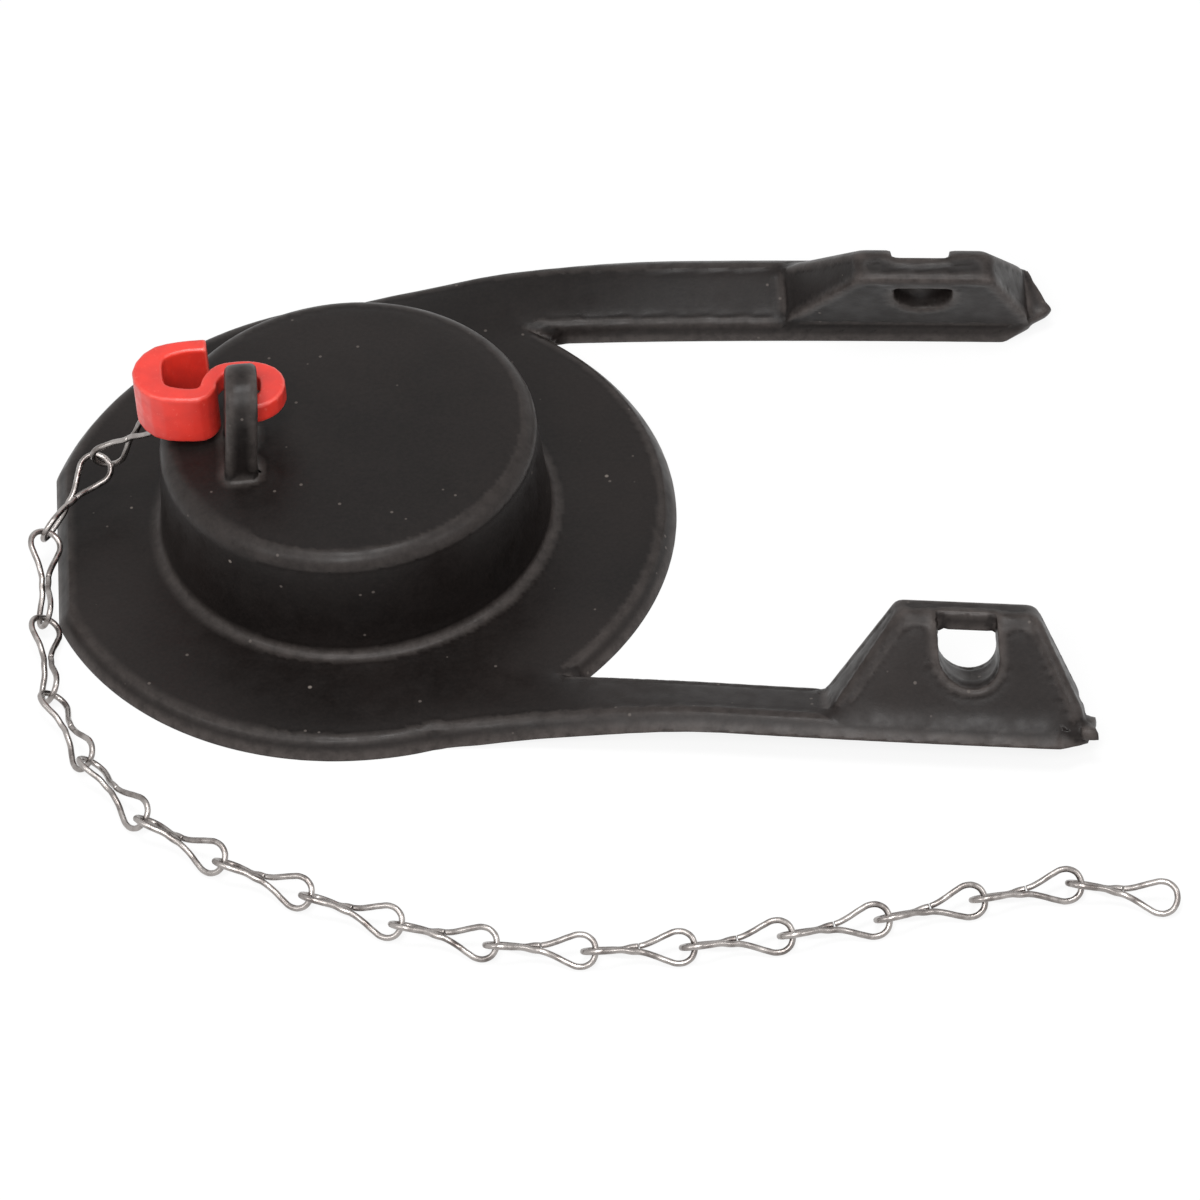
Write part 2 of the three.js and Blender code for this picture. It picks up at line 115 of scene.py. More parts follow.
class Graph:
    """A node tree, with short calls to add and join its nodes."""

    def __init__(self, tree: bpy.types.NodeTree) -> None:
        """Take over a tree and empty it.

        Args:
            tree: The tree.
        """
        self.tree = tree
        self.tree.nodes.clear()

    def add(self, kind: str, **values: str) -> bpy.types.Node:
        """Add a node.

        Args:
            kind: The node's type.
            values: Properties of the node, set by name.

        Returns:
            The new node.
        """
        node = self.tree.nodes.new(kind)
        for key, value in values.items():
            setattr(node, key, value)
        return node

    def feed(self, target: Socket, value: Value) -> None:
        """Give an input its value.

        Args:
            target: The input.
            value: An output to link, a colour or a number.
        """
        if isinstance(value, Socket):
            self.tree.links.new(value, target)
        elif isinstance(value, tuple):
            target.default_value = (*value, 1.0)
        else:
            target.default_value = value

    def show(self, kind: str, result: Socket) -> None:
        """End the tree in its output node."""
        self.feed(self.add(kind).inputs["Surface"], result)

    def combine(self, operation: str, first: Value, second: Value) -> Socket:
        """Combine two values.

        Args:
            operation: The operation's name.
            first: A number or an output.
            second: A number or an output.

        Returns:
            The result.
        """
        node = self.add("ShaderNodeMath", operation=operation)
        self.feed(node.inputs[0], first)
        self.feed(node.inputs[1], second)
        return node.outputs[0]

    def ramp(self, value: Socket, low: float, high: float, to_low: float, to_high: float) -> Socket:
        """Map a range of values to another, clamped.

        Args:
            value: The value to map.
            low: Start of its range.
            high: End of its range.
            to_low: What the start becomes.
            to_high: What the end becomes.

        Returns:
            The mapped value.
        """
        node = self.add("ShaderNodeMapRange")
        for socket, number in zip(node.inputs, (value, low, high, to_low, to_high)):
            self.feed(socket, number)
        return node.outputs[0]

    def blend(self, factor: Socket, first: Value, second: Value) -> Socket:
        """Mix two colours.

        Args:
            factor: Share of the second colour.
            first: A colour or an output.
            second: A colour or an output.

        Returns:
            The mixed colour.
        """
        node = self.add("ShaderNodeMix", data_type="RGBA")
        self.feed(node.inputs[0], factor)
        self.feed(node.inputs[6], first)
        self.feed(node.inputs[7], second)
        return node.outputs[2]

    def seen_rays(self) -> Socket:
        """Add the test for rays that should meet a white background.

        Returns:
            1 for camera, glossy and transmission rays, or else 0.
        """
        path = self.add("ShaderNodeLightPath")
        total = path.outputs["Is Camera Ray"]
        for name in ("Is Glossy Ray", "Is Transmission Ray"):
            total = self.combine("MAXIMUM", total, path.outputs[name])
        return total


class FinishGraph(Graph):
    """A finish's node tree: one shader, with its patterns on object coordinates."""

    # Patches that break up the painted highlight on edges.
    highlight_patches: Pattern = Pattern(650.0, detail=5.0, weight=0.65, high=0.62)
    least_highlight: float = 0.35

    def __init__(self, name: str) -> None:
        """Start a material.

        Args:
            name: The material's name.
        """
        self.material = bpy.data.materials.new(name)
        self.material.use_nodes = True
        super().__init__(self.material.node_tree)
        self.shader = self.add("ShaderNodeBsdfPrincipled")
        self.show("ShaderNodeOutputMaterial", self.shader.outputs[0])
        self.place = self.add("ShaderNodeTexCoord").outputs["Object"]

    def dress(self, name: str, value: Value) -> None:
        """Give one of the shader's inputs its value."""
        self.feed(self.shader.inputs[name], value)

    def noise(self, pattern: Pattern) -> Socket:
        """Add a noise.

        Args:
            pattern: The noise.

        Returns:
            Its value.
        """
        node = self.add("ShaderNodeTexNoise")
        self.feed(node.inputs["Vector"], self.place)
        self.feed(node.inputs["Scale"], pattern.scale)
        self.feed(node.inputs["Detail"], pattern.detail)
        self.feed(node.inputs["Roughness"], pattern.weight)
        return node.outputs[0]

    def band(self, pattern: Pattern, to_low: float, to_high: float) -> Socket:
        """Add a noise and map the band of it that counts.

        Args:
            pattern: The noise, with its band.
            to_low: What the band's start becomes.
            to_high: What its end becomes.

        Returns:
            The mapped value.
        """
        return self.ramp(self.noise(pattern), pattern.low, pattern.high, to_low, to_high)

    def painted_highlight(self, start: float, full: float) -> Socket:
        """Share of the painted highlight on edges and fillets, broken up in patches.

        Args:
            start: Stored edge value where the painted highlight starts.
            full: Stored edge value where it is full.

        Returns:
            The share.
        """
        stored = self.add("ShaderNodeAttribute", attribute_name=PAINTED_HIGHLIGHT).outputs["Fac"]
        edge = self.ramp(stored, start, full, 0.0, 1.0)
        return self.combine("MULTIPLY", edge, self.band(self.highlight_patches, self.least_highlight, 1.0))

    def speckle(self, colour: Socket, speck: Speck) -> Socket:
        """Scatter dust specks over a colour.

        Args:
            colour: The colour.
            speck: The kind of speck.

        Returns:
            The speckled colour.
        """
        cells = self.add("ShaderNodeTexVoronoi")
        self.feed(cells.inputs["Vector"], self.place)
        self.feed(cells.inputs["Scale"], speck.cells)
        near = self.ramp(cells.outputs["Distance"], speck.radius * speck.rim, speck.radius, 1.0, 0.0)
        pick = self.add("ShaderNodeSeparateColor")
        self.feed(pick.inputs[0], cells.outputs["Color"])
        chosen = self.combine("LESS_THAN", pick.outputs[0], speck.share)
        return self.blend(self.combine("MULTIPLY", near, chosen), colour, speck.colour)

    def raise_by(self, pattern: Socket, relief: Relief) -> None:
        """Raise the surface by a pattern, on top of what raises it already.

        Args:
            pattern: The pattern, from 0 to 1.
            relief: How much it counts.
        """
        node = self.add("ShaderNodeBump")
        self.feed(node.inputs["Strength"], relief.strength)
        self.feed(node.inputs["Distance"], relief.height)
        self.feed(node.inputs["Height"], pattern)
        for link in self.shader.inputs["Normal"].links:
            self.feed(node.inputs["Normal"], link.from_socket)
        self.dress("Normal", node.outputs[0])


@dataclass(frozen=True)
class RubberFinish:
    """Satin moulded rubber, near black, with a bloom of dust, a few light specks and a highlight painted
    on its edges and fillets.
    """

    dark: Colour = (0.0050, 0.0038, 0.0035)
    bloom: Colour = (0.0145, 0.0110, 0.0100)
    # Pale tone painted on edges and fillets as a highlight.
    highlight_tone: Colour = (0.066, 0.056, 0.052)
    highlight_start: float = 0.09
    highlight_full: float = 0.9
    cloud: Pattern = Pattern(38.0, detail=4.0, low=0.38, high=0.72)
    cloud_share: float = 0.75
    grain: Pattern = Pattern(1900.0, detail=4.0, weight=0.65, low=0.35, high=0.75)
    grain_share: float = 0.5
    grain_relief: Relief = Relief(strength=0.22, height=0.06 * MM)
    swell: Pattern = Pattern(240.0)
    swell_relief: Relief = Relief(strength=0.09, height=0.3 * MM)
    sheen: Pattern = Pattern(420.0, detail=5.0)
    roughness: tuple[float, float] = (0.31, 0.48)
    refraction: float = 1.26
    specks: tuple[Speck, ...] = (
        Speck(cells=230.0, radius=0.07, share=0.10, colour=(0.15, 0.13, 0.115)),
        Speck(cells=620.0, radius=0.16, share=0.10, colour=(0.075, 0.064, 0.058)),
    )

    def build(self) -> bpy.types.Material:
        """Make the material.

        Returns:
            The rubber's material.
        """
        g = FinishGraph("moulded_rubber")
        cloud = g.band(self.cloud, 0.0, self.cloud_share)
        grain = g.band(self.grain, 0.0, self.grain_share)
        colour = g.blend(g.combine("ADD", cloud, grain), self.dark, self.bloom)
        # Painted highlight on edges and fillets.
        colour = g.blend(g.painted_highlight(self.highlight_start, self.highlight_full), colour, self.highlight_tone)
        for speck in self.specks:
            colour = g.speckle(colour, speck)
        g.dress("Base Color", colour)
        g.dress("Roughness", g.band(self.sheen, *self.roughness))
        g.dress("IOR", self.refraction)
        g.raise_by(g.noise(self.grain), self.grain_relief)
        g.raise_by(g.noise(self.swell), self.swell_relief)
        return g.material


@dataclass(frozen=True)
class PlasticFinish:
    """Semi-gloss red moulded plastic with paler scuffs, and the same pale tone painted on its edges as a
    highlight.
    """

    colour: Colour = (0.72, 0.036, 0.022)
    deep: Colour = (0.56, 0.028, 0.020)
    # Pale tone of the random scuffs, also painted on the edges as a highlight.
    scuff_and_highlight: Colour = (0.86, 0.22, 0.17)
    highlight_start: float = 0.35
    highlight_full: float = 1.4
    tone: Pattern = Pattern(260.0, low=0.35)
    marks: Pattern = Pattern(1700.0, detail=5.0, weight=0.7, low=0.6, high=0.76)
    marks_share: float = 0.45
    swell: Pattern = Pattern(700.0, detail=4.0)
    swell_relief: Relief = Relief(strength=0.15, height=0.2 * MM)
    sheen: Pattern = Pattern(900.0, detail=4.0)
    roughness: tuple[float, float] = (0.28, 0.49)
    coat: float = 0.15
    coat_roughness: float = 0.2

    def build(self) -> bpy.types.Material:
        """Make the material.

        Returns:
            The clip's material.
        """
        g = FinishGraph("red_plastic")
        tone = g.blend(g.band(self.tone, 0.0, 1.0), self.colour, self.deep)
        scuffed = g.blend(g.band(self.marks, 0.0, self.marks_share), tone, self.scuff_and_highlight)
        # Painted highlight on the clip's edges, in the scuff colour.
        g.dress("Base Color", g.blend(g.painted_highlight(self.highlight_start, self.highlight_full), scuffed, self.scuff_and_highlight))
        g.dress("Roughness", g.band(self.sheen, *self.roughness))
        g.dress("Coat Weight", self.coat)
        g.dress("Coat Roughness", self.coat_roughness)
        g.raise_by(g.noise(self.swell), self.swell_relief)
        return g.material


@dataclass(frozen=True)
class WireFinish:
    """Bright drawn wire, slightly dulled, with warm brown traces."""

    bright: Colour = (0.36, 0.335, 0.32)
    dull: Colour = (0.075, 0.058, 0.052)
    stain: Pattern = Pattern(420.0, detail=5.0, weight=0.6, low=0.42)
    stain_share: float = 0.85
    scratch: Pattern = Pattern(2600.0)
    scratch_relief: Relief = Relief(strength=0.2, height=0.04 * MM)
    sheen: Pattern = Pattern(1500.0, detail=4.0)
    roughness: tuple[float, float] = (0.18, 0.40)

    def build(self) -> bpy.types.Material:
        """Make the material.

        Returns:
            The wire's material.
        """
        g = FinishGraph("drawn_wire")
        g.dress("Base Color", g.blend(g.band(self.stain, 0.0, self.stain_share), self.bright, self.dull))
        g.dress("Metallic", 1.0)
        g.dress("Roughness", g.band(self.sheen, *self.roughness))
        g.raise_by(g.noise(self.scratch), self.scratch_relief)
        return g.material


def dressed(
    name: str, form: Form, finish: bpy.types.Material, node: bpy.types.Object
) -> bpy.types.Object:
    """Make the finished piece that stands in for a node.

    Args:
        name: The piece's name.
        form: Its form, already in place. It is freed.
        finish: Its material.
        node: The node that it replaces.

    Returns:
        The piece, riding on the body.
    """
    for face in form.faces:
        face.smooth = True
    mesh = bpy.data.meshes.new(name)
    form.to_mesh(mesh)
    form.free()
    mesh.materials.append(finish)
    piece = bpy.data.objects.new(name, mesh)
    bpy.context.scene.collection.objects.link(piece)
    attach(piece, BODY)
    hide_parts(node.name)
    return piece


def merged_copy(node: bpy.types.Object) -> Form:
    """Copy a node's mesh with its loose triangles joined.

    Args:
        node: The node's object.

    Returns:
        The joined form.
    """
    copy = bmesh.new()
    copy.from_mesh(node.data)
    bmesh.ops.remove_doubles(copy, verts=copy.verts, dist=WELD)
    return copy


def carried(form: Form) -> bpy.types.Object:
    """Put a form on an object of its own for a while.

    Args:
        form: The form. It is freed.

    Returns:
        The object.
    """
    mesh = bpy.data.meshes.new("working_form")
    form.to_mesh(mesh)
    form.free()
    carrier = bpy.data.objects.new("working_form", mesh)
    bpy.context.scene.collection.objects.link(carrier)
    return carrier


def put_away(carrier: bpy.types.Object) -> None:
    """Remove a working object and its mesh."""
    mesh = carrier.data
    bpy.data.objects.remove(carrier)
    bpy.data.meshes.remove(mesh)


def evaluated(carrier: bpy.types.Object) -> Form:
    """Take the form that a working object's modifiers make, and put the object away.

    Args:
        carrier: The object. It is removed.

    Returns:
        The form.
    """
    bpy.context.view_layer.update()
    seen = carrier.evaluated_get(bpy.context.evaluated_depsgraph_get())
    made = bmesh.new()
    made.from_mesh(seen.to_mesh())
    put_away(carrier)
    return made


def joined(first: Form, second: Form) -> Form:
    """Unite two closed forms.

    Args:
        first: A form. It is freed.
        second: A form. It is freed.

    Returns:
        The united form.
    """
    base = carried(first)
    tool = carried(second)
    union = base.modifiers.new("union", "BOOLEAN")
    union.operation = "UNION"
    union.solver = "EXACT"
    union.object = tool
    form = evaluated(base)
    put_away(tool)
    return form


def even_skin(form: Form, depth: int, fill: float) -> Form:
    """Cover a closed form with an even skin of small squares that keeps its edges.

    Args:
        form: The form. It is freed.
        depth: Halvings of the form's box.
        fill: Share of the halved box that the form fills.

    Returns:
        The skin, with at most two faces on each of its edges.
    """
    carrier = carried(form)
    cover = carrier.modifiers.new("skin", "REMESH")
    cover.mode = "SHARP"
    cover.octree_depth = depth
    cover.scale = fill
    cover.use_remove_disconnected = False
    skin = evaluated(carrier)
    pinched = [edge for edge in skin.edges if len(edge.link_faces) > 2]
    bmesh.ops.collapse(skin, edges=pinched)
    return skin


def swept(line: list[Vector], radius: float, sides: int) -> Form:
    """Push a round section along a line and close both ends.

    Args:
        line: The line's points.
        radius: The section's radius in metres.
        sides: Its number of sides.

    Returns:
        The closed form.
    """
    headings = [after - before for before, after in zip([line[0], *line], [*line[1:], line[-1]])]
    start = Matrix.Translation(line[0]) @ headings[0].to_track_quat("Z", "Y").to_matrix().to_4x4()
    form = bmesh.new()
    bmesh.ops.create_circle(form, cap_ends=True, segments=sides, radius=radius, matrix=start)
    rim = list(form.edges)
    for step in range(1, len(line)):
        grown = bmesh.ops.extrude_edge_only(form, edges=rim)["geom"]
        verts = [part for part in grown if isinstance(part, bmesh.types.BMVert)]
        rim = [part for part in grown if isinstance(part, bmesh.types.BMEdge) and part.is_boundary]
        turn = headings[step - 1].rotation_difference(headings[step]).to_matrix()
        bmesh.ops.rotate(form, cent=line[step - 1], matrix=turn, verts=verts)
        bmesh.ops.translate(form, vec=line[step] - line[step - 1], verts=verts)
    bmesh.ops.holes_fill(form, edges=rim)
    bmesh.ops.recalc_face_normals(form, faces=form.faces)
    return form


class SurfaceMean:
    """Mean place of a skin's surface within a reach of any point."""

    def __init__(self, skin: Form, splits: tuple[tuple[float, float], ...]) -> None:
        """Sample the skin.

        Args:
            skin: The skin, of four-sided faces with a triangle here and there.
            splits: Where each face is sampled, as shares of its two sides.
        """
        skin.verts.index_update()
        spots = np.array([v.co for v in skin.verts], float)
        corners = spots[[[f.verts[k].index for k in (0, 1, 2, -1)] for f in skin.faces]]
        across = np.cross(corners[:, 2] - corners[:, 0], corners[:, 3] - corners[:, 1])
        samples = []
        for s, t in splits:
            shares = ((1 - s) * (1 - t), s * (1 - t), s * t, (1 - s) * t)
            samples.append(np.einsum("k,nkj->nj", shares, corners))
        self.points = np.concatenate(samples)
        self.weights = np.tile(np.linalg.norm(across, axis=1), len(samples))
        self.tree = KDTree(len(self.points))
        for index, point in enumerate(self.points):
            self.tree.insert(point, index)
        self.tree.balance()

    def at(self, spot: Vector, reach: float) -> Vector:
        """Find the mean place round a spot.

        Args:
            spot: The spot.
            reach: How far the surface counts, in metres.

        Returns:
            The mean place, nearer surface counting more.
        """
        found = self.tree.find_range(spot, reach)
        picks = [index for _, index, _ in found]
        falls = 1 - (np.array([distance for _, _, distance in found]) / reach) ** 2
        share = self.weights[picks] * falls * falls
        return Vector(share @ self.points[picks] / share.sum())

    def offset(self, vert: bmesh.types.BMVert, reach: float) -> float:
        """Height of the mean place over a point of the skin, along its normal."""
        return (self.at(vert.co, reach) - vert.co).dot(vert.normal)


def round_off(skin: Form, reach: float) -> None:
    """Round the edges of an even skin.

    Args:
        skin: The skin to round.
        reach: How far the surface around a point counts, in metres.
    """
    mean = SurfaceMean(skin, QUARTERS)
    for vert, place in [(vert, mean.at(vert.co, reach)) for vert in skin.verts]:
        vert.co = place
    skin.normal_update()


def ease_facets(skin: Form, verts: list[bmesh.types.BMVert], reach: float, most: float) -> None:
    """Even out shallow facets and leave the real edges as they are.

    Args:
        skin: The skin.
        verts: The points that may move.
        reach: How far the surface around a point counts, in metres.
        most: Moves above this length, in metres, are edges and aren't made.
    """
    mean = SurfaceMean(skin, MIDDLE)
    moves = []
    for vert in verts:
        offset = mean.offset(vert, reach)
        keep = max(0.0, 1.0 - (offset / most) ** 4)
        moves.append((vert, vert.normal * offset * keep))
    for vert, move in moves:
        vert.co += move
    skin.normal_update()


def mark_edges(skin: Form, reach: float, full: float) -> None:
    """Store how sharply the surface turns at each point, which places the painted highlight on edges and
    corners.

    Args:
        skin: The skin.
        reach: How far the surface around a point counts, in metres.
        full: Offset of the mean place, in metres, that counts as a full edge.
    """
    skin.normal_update()
    mean = SurfaceMean(skin, MIDDLE)
    layer = skin.verts.layers.float.new(PAINTED_HIGHLIGHT)
    for vert in skin.verts:
        vert[layer] = min(1.0, abs(mean.offset(vert, reach)) / full)


def shells_of(skin: Form) -> list[set[bmesh.types.BMFace]]:
    """Sort a skin's faces into shells that hang together by edges with two faces.

    Args:
        skin: The skin.

    Returns:
        The shells, the largest last.
    """
    left = set(skin.faces)
    shells = []
    while left:
        front = [left.pop()]
        shell = set(front)
        while front:
            sides = [edge for edge in front.pop().edges if len(edge.link_faces) == 2]
            beside = {face for edge in sides for face in edge.link_faces} & left
            left -= beside
            shell |= beside
            front += beside
        shells.append(shell)
    return sorted(shells, key=len)


def drop_slivers(skin: Form) -> None:
    """Merge a skin's points that coincide, and drop the slivers that hang on its one shell.

    Args:
        skin: The skin.
    """
    bmesh.ops.remove_doubles(skin, verts=skin.verts, dist=WELD)
    slivers = [face for shell in shells_of(skin)[:-1] for face in shell]
    bmesh.ops.delete(skin, geom=slivers, context="FACES")


@dataclass
class RubberBody:
    """The moulding: disc, hollow dome, two arms with pierced ears, and the standing eye.

    The disc and the dome are turned from their half section. Arms, ears and eye come from the node.
    """

    node: bpy.types.Object
    finish: bpy.types.Material
    disc_radius: float = 41.0 * MM
    slab: float = 2.7 * MM
    bevel: float = 1.8 * MM
    corner_drop: float = 0.25 * MM
    corner_shares: tuple[float, float] = (0.9, 1.25)
    flat_depth: float = 2.2 * MM
    dome_foot: float = 24.9 * MM
    dome_top: float = 24.0 * MM
    dome_height: float = 16.0 * MM
    crown: float = 0.6 * MM
    crown_middle: tuple[float, float] = (0.5, 0.7)
    edge_round: float = 2.5 * MM
    inner_round: float = 1.5 * MM
    foot_round: float = 1.2 * MM
    edge_steps: int = 12
    inner_steps: int = 6
    foot_steps: int = 8
    wall: float = 2.2 * MM
    turns: int = 240
    level_slack: float = 0.01 * MM
    depth: int = 9
    fill: float = 0.49
    softness: float = 1.0 * MM
    facet_start: float = -40.0 * MM
    facet_rounds: int = 2
    facet_reach: float = 2.4 * MM
    facet_move: float = 0.12 * MM
    # Reach and full offset of the mark that places the painted highlight on edges and fillets.
    highlight_reach: float = 1.9 * MM
    highlight_edge_offset: float = 0.34 * MM
    centre: Vector = field(init=False)

    def __post_init__(self) -> None:
        """Find the dome's centre from the top of its crown."""
        top = self.slab + self.dome_height + self.crown
        peak = next(v.co for v in self.node.data.vertices if abs(v.co.z - top) < self.level_slack)
        self.centre = Vector((peak.x, peak.y, 0.0))

    def arc(self, x: float, z: float, radius: float, start: float, end: float, steps: int) -> list[Vector]:
        """Points of a round corner in the X-Z plane.

        Args:
            x: Centre across.
            z: Centre up.
            radius: Its radius.
            start: First angle in degrees.
            end: Last angle in degrees.
            steps: Number of steps.

        Returns:
            The points in order.
        """
        angles = [math.radians(start + (end - start) * i / steps) for i in range(steps + 1)]
        return [Vector((x + radius * math.cos(a), 0.0, z + radius * math.sin(a))) for a in angles]

    def profile(self) -> list[Vector]:
        """Half section of the disc and dome, from the ceiling's middle round to the crown.

        Returns:
            The points in order.
        """
        top = self.slab + self.dome_height
        ceiling = top - self.wall
        corner_x = self.dome_top - self.wall - self.inner_round
        edge_x = self.dome_top - self.edge_round
        foot_x = self.dome_foot + self.foot_round
        foot_z = self.slab + self.foot_round
        low_share, high_share = self.corner_shares
        crown_run, crown_rise = self.crown_middle
        return [
            Vector((0.0, 0.0, ceiling)),
            *self.arc(corner_x, ceiling - self.inner_round, self.inner_round, 90, 0, self.inner_steps),
            Vector((self.dome_foot - self.wall, 0.0, 0.0)),
            Vector((self.disc_radius, 0.0, 0.0)),
            Vector((self.disc_radius - self.bevel * low_share, 0.0, self.slab - self.corner_drop)),
            Vector((self.disc_radius - self.bevel * high_share, 0.0, self.slab)),
            *self.arc(foot_x, foot_z, self.foot_round, 270, 180, self.foot_steps),
            *self.arc(edge_x, top - self.edge_round, self.edge_round, 0, 90, self.edge_steps),
            Vector((self.dome_top * crown_run, 0.0, top + self.crown * crown_rise)),
            Vector((0.0, 0.0, top + self.crown)),
        ]

    def turned(self) -> Form:
        """Spin the half section into a smooth disc and dome, with its straight edge cut.

        Returns:
            The closed form, in place.
        """
        form = bmesh.new()
        verts = [form.verts.new(p) for p in self.profile()]
        edges = [form.edges.new(pair) for pair in zip(verts[:-1], verts[1:])]
        bmesh.ops.spin(
            form,
            geom=[*verts, *edges],
            axis=UP,
            cent=(0.0, 0.0, 0.0),
            angle=math.tau,
            steps=self.turns,
            use_merge=True,
        )
        bmesh.ops.remove_doubles(form, verts=form.verts, dist=WELD)
        slope = math.atan2(self.bevel, self.slab)
        cut = bmesh.ops.bisect_plane(
            form,
            geom=[*form.verts, *form.edges, *form.faces],
            plane_co=(self.flat_depth - self.disc_radius, 0.0, 0.0),
            plane_no=(-math.cos(slope), 0.0, math.sin(slope)),
            clear_outer=True,
        )
        rim = [part for part in cut["geom_cut"] if isinstance(part, bmesh.types.BMEdge)]
        bmesh.ops.holes_fill(form, edges=rim)
        bmesh.ops.recalc_face_normals(form, faces=form.faces)
        bmesh.ops.translate(form, verts=form.verts, vec=self.centre)
        return form

    def build(self) -> bpy.types.Object:
        """Join the turned form to the rest of the moulding in one soft-edged skin.

        Returns:
            The rubber piece.
        """
        skin = even_skin(joined(merged_copy(self.node), self.turned()), self.depth, self.fill)
        round_off(skin, self.softness)
        for _ in range(self.facet_rounds):
            faceted = [v for v in skin.verts if v.co.x > self.facet_start]
            ease_facets(skin, faceted, self.facet_reach, self.facet_move)
        for vert in skin.verts:
            vert.co.z = max(vert.co.z, 0.0)
        # Mark edges and fillets where the highlight is painted.
        mark_edges(skin, self.highlight_reach, self.highlight_edge_offset)
        drop_slivers(skin)
        return dressed("rubber_moulding", skin, self.finish, self.node)


@dataclass
class HookClip:
    """The red clip: one strip bent to a tall and a low hook, with its peg."""

    node: bpy.types.Object
    finish: bpy.types.Material
    depth: int = 7
    fill: float = 0.8
    softness: float = 0.5 * MM
    # Reach and full offset of the mark that places the painted highlight on the clip's edges.
    highlight_reach: float = 0.7 * MM
    highlight_edge_offset: float = 0.14 * MM

    def build(self) -> bpy.types.Object:
        """Round the clip's edges and even out its curves.

        Returns:
            The clip.
        """
        skin = even_skin(merged_copy(self.node), self.depth, self.fill)
        round_off(skin, self.softness)
        # Mark the clip's edges where the highlight is painted.
        mark_edges(skin, self.highlight_reach, self.highlight_edge_offset)
        drop_slivers(skin)
        return dressed("hook_clip", skin, self.finish, self.node)


@dataclass
class LiftChain:
    """The chain: each link is one wire bent into two loops that stand a quarter turn apart.

    The side stops give one side of a loop, from the waist to the tip: how far along the half link,
    and how far out as a share of the loop's half width. A knot's handle is as long as the side it
    lies on divided by handle_part.
    """

    nodes: list[bpy.types.Object]
    finish: bpy.types.Material
    wire: float = 0.385 * MM
    wire_sides: int = 10
    node_wire: float = 0.44 * MM
    half_width: float = 1.96 * MM
    turn_reach: float = 0.3
    quarter_turn: float = math.pi / 2
    first_roll: float = math.radians(30.0)
    rolled_links: int = 5
    steps: int = 6
    handle_part: float = 2.5614
    side_stops: tuple[tuple[float, float], ...] = (
        (0.012, 0.23),
        (0.12, 0.29),
        (0.30, 0.50),
        (0.50, 0.80),
        (0.69, 1.00),
        (0.87, 0.85),
        (0.975, 0.40),
    )

    def heart(self, number: int) -> Vector:
        """Find the middle of a link's box.

        Args:
            number: The link's number, from 0. Past the chain's ends it stands for the end link.

        Returns:
            The middle.
        """
        last = len(self.nodes) - 1
        low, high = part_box(self.nodes[min(max(number, 0), last)].name)
        return (low + high) / 2

    def place_of(self, number: int) -> tuple[Matrix, float]:
        """Find how a link lies.

        Args:
            number: The link's number, from 0.

        Returns:
            Its place, with x along it to the free end, and half the length of its wire line.
        """
        points = np.array([v.co for v in self.nodes[number].data.vertices], float)
        middle = points.mean(0)
        _, _, axes = np.linalg.svd(points - middle, full_matrices=False)
        run = (points - middle) @ axes[0]
        centre = Vector(middle + axes[0] * (run.max() + run.min()) / 2)
        along = Vector(axes[0])
        if along.dot(self.heart(number + 1) - self.heart(number - 1)) < 0:
            along.negate()
        side = UP.cross(along).normalized()
        place = Matrix((along, side, along.cross(side))).transposed().to_4x4()
        place.translation = centre
        roll = self.first_roll * max(0.0, 1.0 - number / self.rolled_links)
        half = float(run.max() - run.min()) / 2 - self.node_wire
        return place @ Matrix.Rotation(roll, 4, "X"), half

    def knots(self, half: float) -> list[Vector]:
        """Points of the wire's centre line, from its one cut end round both loops to the other.

        Args:
            half: Half the link's length, to the middle of the wire.

        Returns:
            The points, with x along the link.
        """
        loop = [*self.side_stops, *[(x, -w) for x, w in reversed(self.side_stops)]]
        points = []
        for x, w in [*loop, *[(-x, -w) for x, w in loop]]:
            share = max(-1.0, min(1.0, x / self.turn_reach))
            turn = self.quarter_turn / 2 * share
            radius = w * self.half_width
            points.append(Vector((x * half, radius * math.cos(turn), radius * math.sin(turn))))
        return points

    def smooth_line(self, knots: list[Vector]) -> list[Vector]:
        """Draw a smooth line through the knots, each handle along the mean of its two sides.

        Args:
            knots: The knots.

        Returns:
            The line's points.
        """
        ends = [2 * knots[0] - knots[1], *knots, 2 * knots[-1] - knots[-2]]
        handles = []
        for before, knot, after in zip(ends, knots, ends[2:]):
            back = knot - before
            ahead = after - knot
            heading = (back.normalized() + ahead.normalized()).normalized() / self.handle_part
            handles.append((knot - heading * back.length, knot + heading * ahead.length))
        line = [knots[0]]
        for first, second, leaving, arriving in zip(knots, knots[1:], handles, handles[1:]):
            line += interpolate_bezier(first, leaving[1], arriving[0], second, self.steps + 1)[1:]
        return line

    def link(self, number: int) -> bpy.types.Object:
        """Bend one link's wire where its node lies.

        Args:
            number: The link's number, from 0.

        Returns:
            The link.
        """
        node = self.nodes[number]
        place, half = self.place_of(number)
        line = [place @ point for point in self.smooth_line(self.knots(half))]
        form = swept(line, self.wire, self.wire_sides)
        return dressed(node.name.replace("chain_link", "wire_link"), form, self.finish, node)

    def build(self) -> list[bpy.types.Object]:
        """Bend every link.

        Returns:
            The links.
        """
        return [self.link(number) for number in range(len(self.nodes))]


@dataclass(frozen=True)
class Lamp:
    """A soft lamp: its place from the target and its size in metres, and its power in watts."""

    name: str
    place: tuple[float, float, float]
    size: tuple[float, float]
    power: float

    def hang(self, target: Vector) -> None:
        """Hang the lamp so that it faces the target.

        Args:
            target: The target.
        """
        data = bpy.data.lights.new(self.name, "AREA")
        data.shape = "RECTANGLE"
        data.size, data.size_y = self.size
        data.energy = self.power
        lamp = bpy.data.objects.new(self.name, data)
        lamp.location = target + Vector(self.place)
        lamp.rotation_mode = "QUATERNION"
        lamp.rotation_quaternion = (-Vector(self.place)).to_track_quat("-Z", "Y")
        bpy.context.scene.collection.objects.link(lamp)


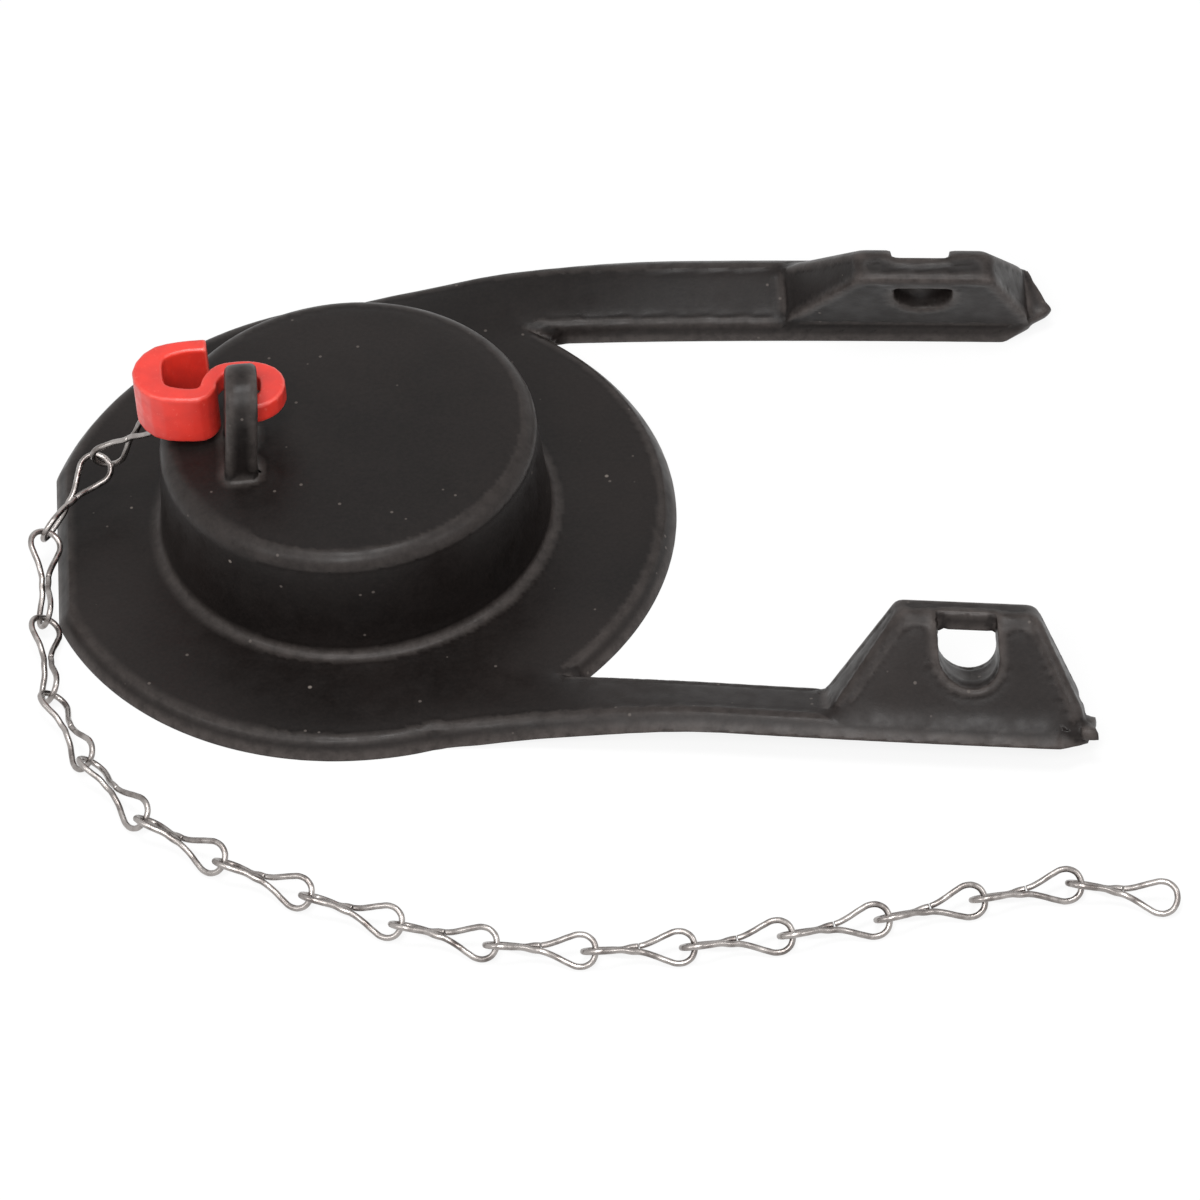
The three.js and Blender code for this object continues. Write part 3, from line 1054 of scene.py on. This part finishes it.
@dataclass
class Studio:
    """The plain pale floor, the soft lamps and the camera. Angles are in degrees."""

    target: Vector
    azimuth: float = -0.05006
    elevation: float = 45.6089
    roll: float = -4.63238
    aside: float = 30.9069 * MM
    above: float = -9.0412 * MM
    distance: float = 1053.163 * MM
    lens: float = 246.96
    sensor: float = 36.0
    near: float = 0.05
    far: float = 20.0
    world_level: float = 0.38
    floor_size: float = 3.0
    floor_tone: Colour = (0.9, 0.9, 0.9)
    floor_glow: float = 0.86
    lamps: tuple[Lamp, ...] = (
        Lamp("key_box", (-0.08, -0.52, 0.6), (0.26, 0.26), 2.8),
        Lamp("left_box", (-0.52, -0.36, 0.5), (0.26, 0.26), 1.1),
        Lamp("right_box", (0.54, -0.34, 0.5), (0.26, 0.26), 1.0),
        Lamp("top_box", (0.02, -0.14, 0.8), (0.3, 0.2), 2.9),
    )

    def camera(self) -> None:
        """Place the camera at the photograph's angle."""
        azimuth = math.radians(self.azimuth)
        elevation = math.radians(self.elevation)
        roll = math.radians(self.roll)
        flat = math.cos(elevation)
        back = Vector((math.sin(azimuth) * flat, -math.cos(azimuth) * flat, math.sin(elevation)))
        level = Vector((math.cos(azimuth), math.sin(azimuth), 0.0))
        rise = back.cross(level)
        right = level * math.cos(roll) + rise * math.sin(roll)
        up = rise * math.cos(roll) - level * math.sin(roll)
        data = bpy.data.cameras.new("camera")
        data.lens = self.lens
        data.sensor_width = self.sensor
        data.clip_start = self.near
        data.clip_end = self.far
        camera = bpy.data.objects.new("camera", data)
        place = Matrix((right, up, back)).transposed().to_4x4()
        place.translation = self.target + right * self.aside + up * self.above + back * self.distance
        camera.matrix_world = place
        bpy.context.scene.collection.objects.link(camera)
        bpy.context.scene.camera = camera

    def world(self) -> None:
        """Make the surroundings: white to look at, softer as a light."""
        world = bpy.data.worlds.new("surroundings")
        bpy.context.scene.world = world
        world.use_nodes = True
        g = Graph(world.node_tree)
        light = g.add("ShaderNodeBackground")
        g.feed(light.inputs["Color"], WHITE)
        g.feed(light.inputs["Strength"], g.ramp(g.seen_rays(), 0.0, 1.0, self.world_level, 1.0))
        g.show("ShaderNodeOutputWorld", light.outputs[0])

    def floor_finish(self) -> bpy.types.Material:
        """Make the floor's material: nearly white to look at, with a faint shadow.

        Returns:
            The material.
        """
        material = bpy.data.materials.new("pale_floor")
        material.use_nodes = True
        g = Graph(material.node_tree)
        matt = g.add("ShaderNodeBsdfDiffuse")
        g.feed(matt.inputs["Color"], self.floor_tone)
        glow = g.add("ShaderNodeEmission")
        g.feed(glow.inputs["Color"], WHITE)
        mix = g.add("ShaderNodeMixShader")
        g.feed(mix.inputs[0], g.combine("MULTIPLY", g.seen_rays(), self.floor_glow))
        g.feed(mix.inputs[1], matt.outputs[0])
        g.feed(mix.inputs[2], glow.outputs[0])
        g.show("ShaderNodeOutputMaterial", mix.outputs[0])
        return material

    def floor(self) -> None:
        """Lay the pale floor."""
        form = bmesh.new()
        bmesh.ops.create_grid(form, x_segments=1, y_segments=1, size=self.floor_size)
        mesh = bpy.data.meshes.new("floor")
        form.to_mesh(mesh)
        form.free()
        mesh.materials.append(self.floor_finish())
        floor = bpy.data.objects.new("floor", mesh)
        bpy.context.scene.collection.objects.link(floor)

    def build(self) -> None:
        """Set up the whole studio."""
        bpy.context.scene.view_settings.view_transform = "Standard"
        self.world()
        self.floor()
        for lamp in self.lamps:
            lamp.hang(self.target)
        self.camera()


def main() -> None:
    """Build every piece around the frame and report it."""
    logging.basicConfig(level=logging.INFO, format="%(message)s")
    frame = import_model()
    nodes = frame["nodes"]
    links = [nodes[name] for name in sorted(nodes) if name.startswith("chain_link")]
    body = RubberBody(nodes["flapper_body"], RubberFinish().build())
    clip = HookClip(nodes["chain_clip"], PlasticFinish().build())
    chain = LiftChain(links, WireFinish().build())
    for piece in (body.build(), clip.build(), *chain.build()):
        log.info("%s: %d faces", piece.name, len(piece.data.polygons))
    Studio(body.centre).build()


if __name__ == "__main__":
    main()
